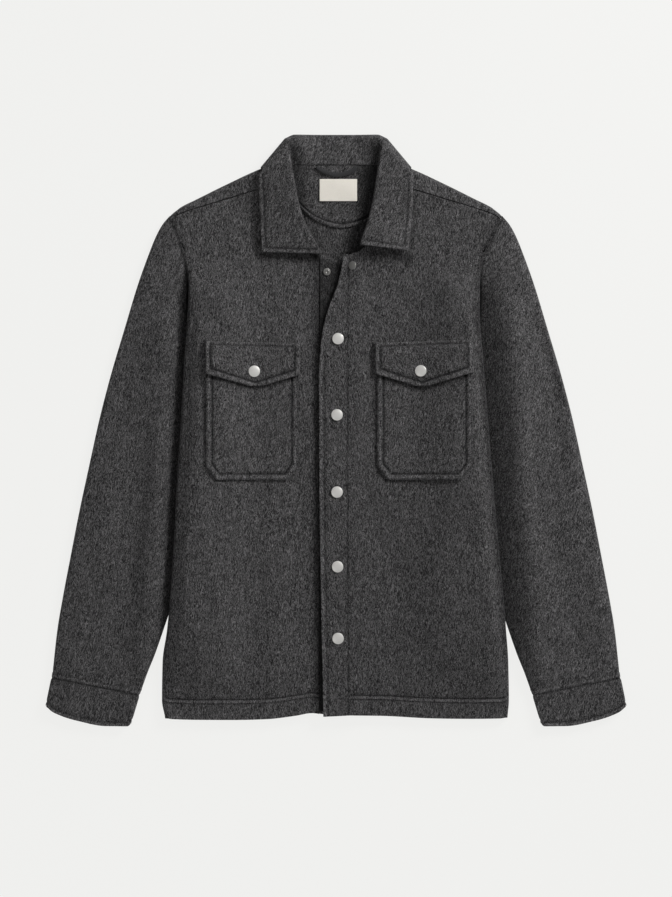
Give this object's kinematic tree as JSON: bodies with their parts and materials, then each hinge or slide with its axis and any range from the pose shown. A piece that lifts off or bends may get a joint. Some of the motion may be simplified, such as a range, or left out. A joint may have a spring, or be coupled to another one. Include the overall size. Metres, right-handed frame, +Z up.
{
  "type": "shacket laid flat",
  "caption": "Heavy brushed-wool overshirt laid flat, front up: pointed collar, snap placket, chest pockets with flaps, long sleeves with cuffs.",
  "frame": {"origin": "middle of the garment's outline, on the surface it lies on", "axes": "+Z up from the surface, +Y towards the collar, +X towards the viewer's right when the front is seen from above"},
  "size_m": [0.7548, 0.7682, 0.0217],
  "materials": {
    "wool": "brushed charcoal melange, matt with a soft nap",
    "facing": "matt",
    "tape": "woven tape, matt",
    "snap_metal": "satin nickel"
  },
  "bodies": {
    "root": {"back": "wool", "front_right": "wool", "front_left": "wool", "button_stand": "wool", "placket": "wool", "sleeve_right": "wool", "sleeve_left": "wool", "cuff_right": "wool", "cuff_left": "wool", "pocket_right": "wool", "pocket_left": "wool", "flap_right": "wool", "flap_left": "wool", "collar": "wool", "neck_facing": "facing", "neck_label": "tape", "hanger_loop": "facing", "snap_1": "snap_metal", "snap_2": "snap_metal", "snap_3": "snap_metal", "snap_4": "snap_metal", "snap_5": "snap_metal", "snap_collar": "snap_metal", "snap_flap_right": "snap_metal", "snap_flap_left": "snap_metal", "stud": "snap_metal"}
  },
  "joints": []
}
